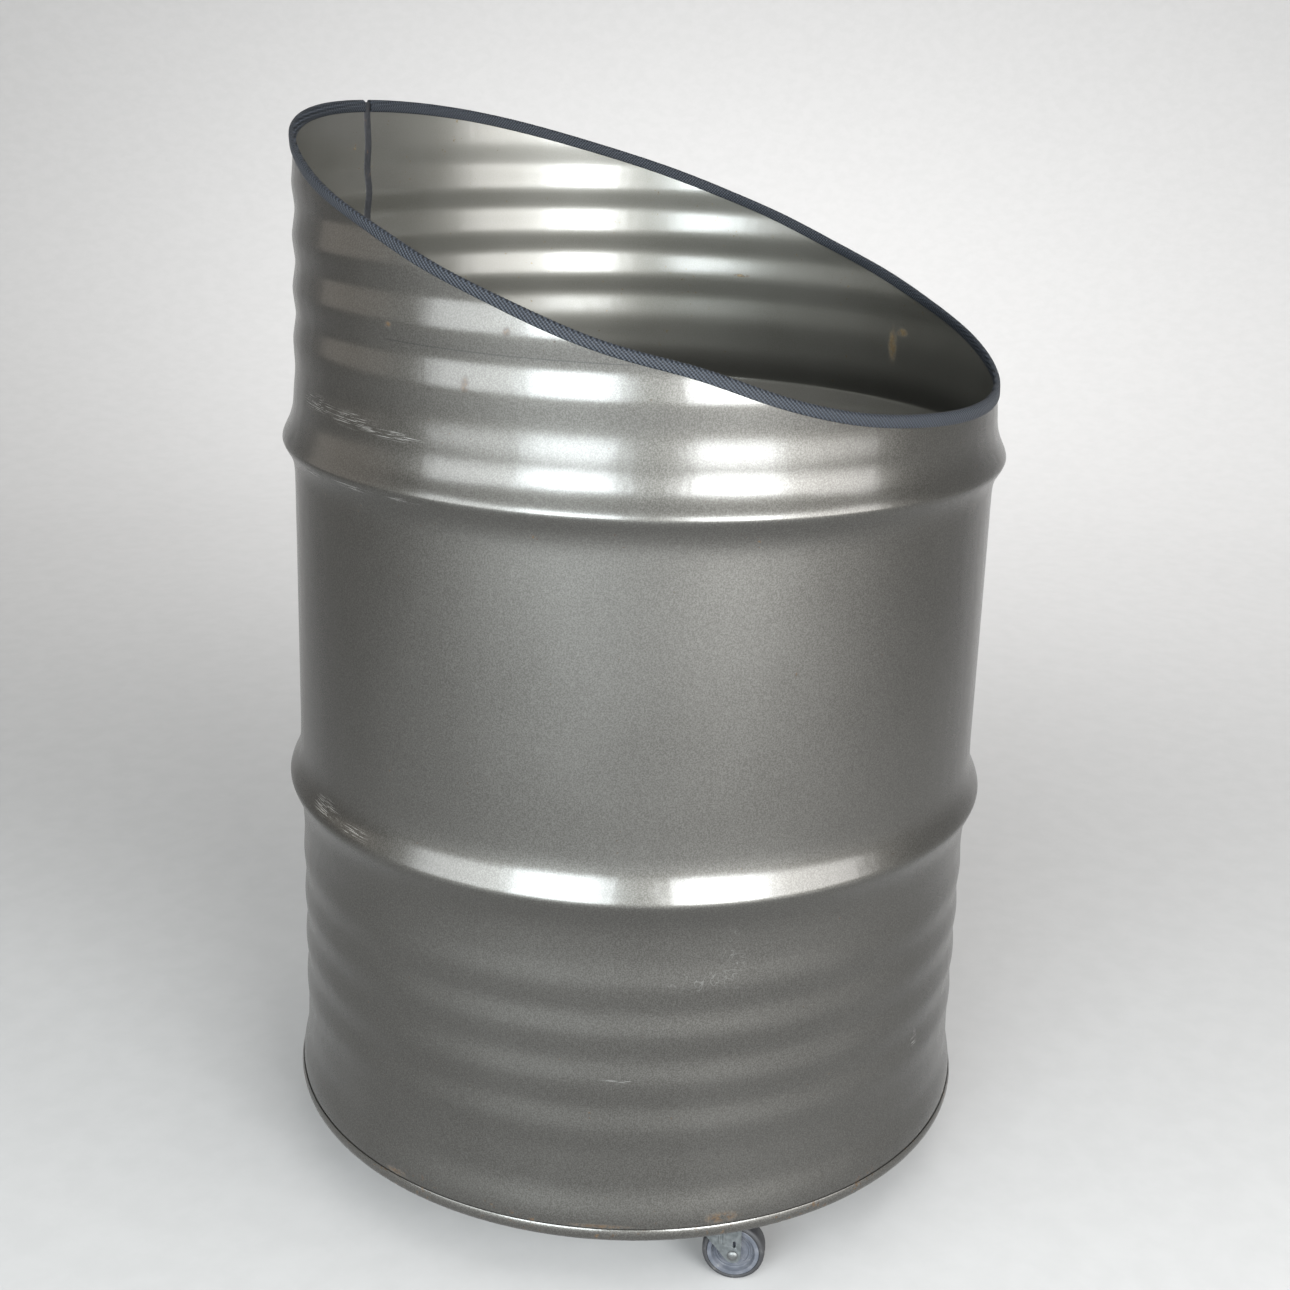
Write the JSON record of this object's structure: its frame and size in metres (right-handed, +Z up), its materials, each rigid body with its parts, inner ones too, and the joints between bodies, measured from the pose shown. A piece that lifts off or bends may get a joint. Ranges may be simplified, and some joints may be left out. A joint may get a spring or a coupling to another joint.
{
  "type": "steel drum bin on castors",
  "caption": "Open steel drum bin with rolling hoops and beads, a slanted mouth with a push-on edge trim, and swivel castors under its bottom.",
  "frame": {"origin": "on the drum's axis at floor level, under the tyres", "axes": "+Z up along the drum's axis; -Y towards the low side of the slanted mouth, +Y towards its high side and the side weld"},
  "size_m": [0.5928, 0.5928, 0.8911],
  "materials": {
    "drum_steel": "lacquered bare mild steel, satin, slightly streaked, with a few rust specks and scuffs",
    "head_steel": "lacquered bare mild steel, satin",
    "edge_trim": "dark blue-grey PVC edge trim with a fine woven grain",
    "zinc_sheet": "zinc-plated pressed steel, satin",
    "rivet_steel": "zinc-plated rivet",
    "fasteners": "zinc-plated hexagon bolts and nuts",
    "hub_plastic": "moulded grey plastic",
    "tyre_rubber": "dark grey thermoplastic rubber"
  },
  "bodies": {
    "drum": {"drum_body": "drum_steel", "drum_bottom": "head_steel", "rim_trim": "edge_trim", "front_left_plate": "zinc_sheet", "front_left_kingpin": "rivet_steel", "front_left_bolt_1": "fasteners", "front_left_bolt_2": "fasteners", "front_left_bolt_3": "fasteners", "front_left_bolt_4": "fasteners", "front_left_nut_1": "fasteners", "front_left_nut_2": "fasteners", "front_left_nut_3": "fasteners", "front_left_nut_4": "fasteners", "front_right_plate": "zinc_sheet", "front_right_kingpin": "rivet_steel", "front_right_bolt_1": "fasteners", "front_right_bolt_2": "fasteners", "front_right_bolt_3": "fasteners", "front_right_bolt_4": "fasteners", "front_right_nut_1": "fasteners", "front_right_nut_2": "fasteners", "front_right_nut_3": "fasteners", "front_right_nut_4": "fasteners", "rear_right_plate": "zinc_sheet", "rear_right_kingpin": "rivet_steel", "rear_right_bolt_1": "fasteners", "rear_right_bolt_2": "fasteners", "rear_right_bolt_3": "fasteners", "rear_right_bolt_4": "fasteners", "rear_right_nut_1": "fasteners", "rear_right_nut_2": "fasteners", "rear_right_nut_3": "fasteners", "rear_right_nut_4": "fasteners", "rear_left_plate": "zinc_sheet", "rear_left_kingpin": "rivet_steel", "rear_left_bolt_1": "fasteners", "rear_left_bolt_2": "fasteners", "rear_left_bolt_3": "fasteners", "rear_left_bolt_4": "fasteners", "rear_left_nut_1": "fasteners", "rear_left_nut_2": "fasteners", "rear_left_nut_3": "fasteners", "rear_left_nut_4": "fasteners"},
    "front_left_castor": {"front_left_fork": "zinc_sheet", "front_left_axle": "rivet_steel"},
    "front_left_wheel": {"front_left_hub": "hub_plastic", "front_left_tyre": "tyre_rubber"},
    "front_right_castor": {"front_right_fork": "zinc_sheet", "front_right_axle": "rivet_steel"},
    "front_right_wheel": {"front_right_hub": "hub_plastic", "front_right_tyre": "tyre_rubber"},
    "rear_right_castor": {"rear_right_fork": "zinc_sheet", "rear_right_axle": "rivet_steel"},
    "rear_right_wheel": {"rear_right_hub": "hub_plastic", "rear_right_tyre": "tyre_rubber"},
    "rear_left_castor": {"rear_left_fork": "zinc_sheet", "rear_left_axle": "rivet_steel"},
    "rear_left_wheel": {"rear_left_hub": "hub_plastic", "rear_left_tyre": "tyre_rubber"}
  },
  "joints": [
    {"name": "front_left_swivel", "type": "hinge", "parent": "drum", "child": "front_left_castor", "pos_m": [-0.17678, -0.17678, 0.065], "axis": [0, 0, 1], "continuous": true},
    {"name": "front_left_spin", "type": "hinge", "parent": "front_left_castor", "child": "front_left_wheel", "pos_m": [-0.17096, -0.19275, 0.025], "axis": [-0.9397, -0.342, 0], "continuous": true},
    {"name": "front_right_swivel", "type": "hinge", "parent": "drum", "child": "front_right_castor", "pos_m": [0.17678, -0.17678, 0.065], "axis": [0, 0, 1], "continuous": true},
    {"name": "front_right_spin", "type": "hinge", "parent": "front_right_castor", "child": "front_right_wheel", "pos_m": [0.18259, -0.19275, 0.025], "axis": [-0.9397, -0.342, 0], "continuous": true},
    {"name": "rear_right_swivel", "type": "hinge", "parent": "drum", "child": "rear_right_castor", "pos_m": [0.17678, 0.17678, 0.065], "axis": [0, 0, 1], "continuous": true},
    {"name": "rear_right_spin", "type": "hinge", "parent": "rear_right_castor", "child": "rear_right_wheel", "pos_m": [0.18259, 0.1608, 0.025], "axis": [-0.9397, -0.342, 0], "continuous": true},
    {"name": "rear_left_swivel", "type": "hinge", "parent": "drum", "child": "rear_left_castor", "pos_m": [-0.17678, 0.17678, 0.065], "axis": [0, 0, 1], "continuous": true},
    {"name": "rear_left_spin", "type": "hinge", "parent": "rear_left_castor", "child": "rear_left_wheel", "pos_m": [-0.17096, 0.1608, 0.025], "axis": [-0.9397, -0.342, 0], "continuous": true}
  ]
}
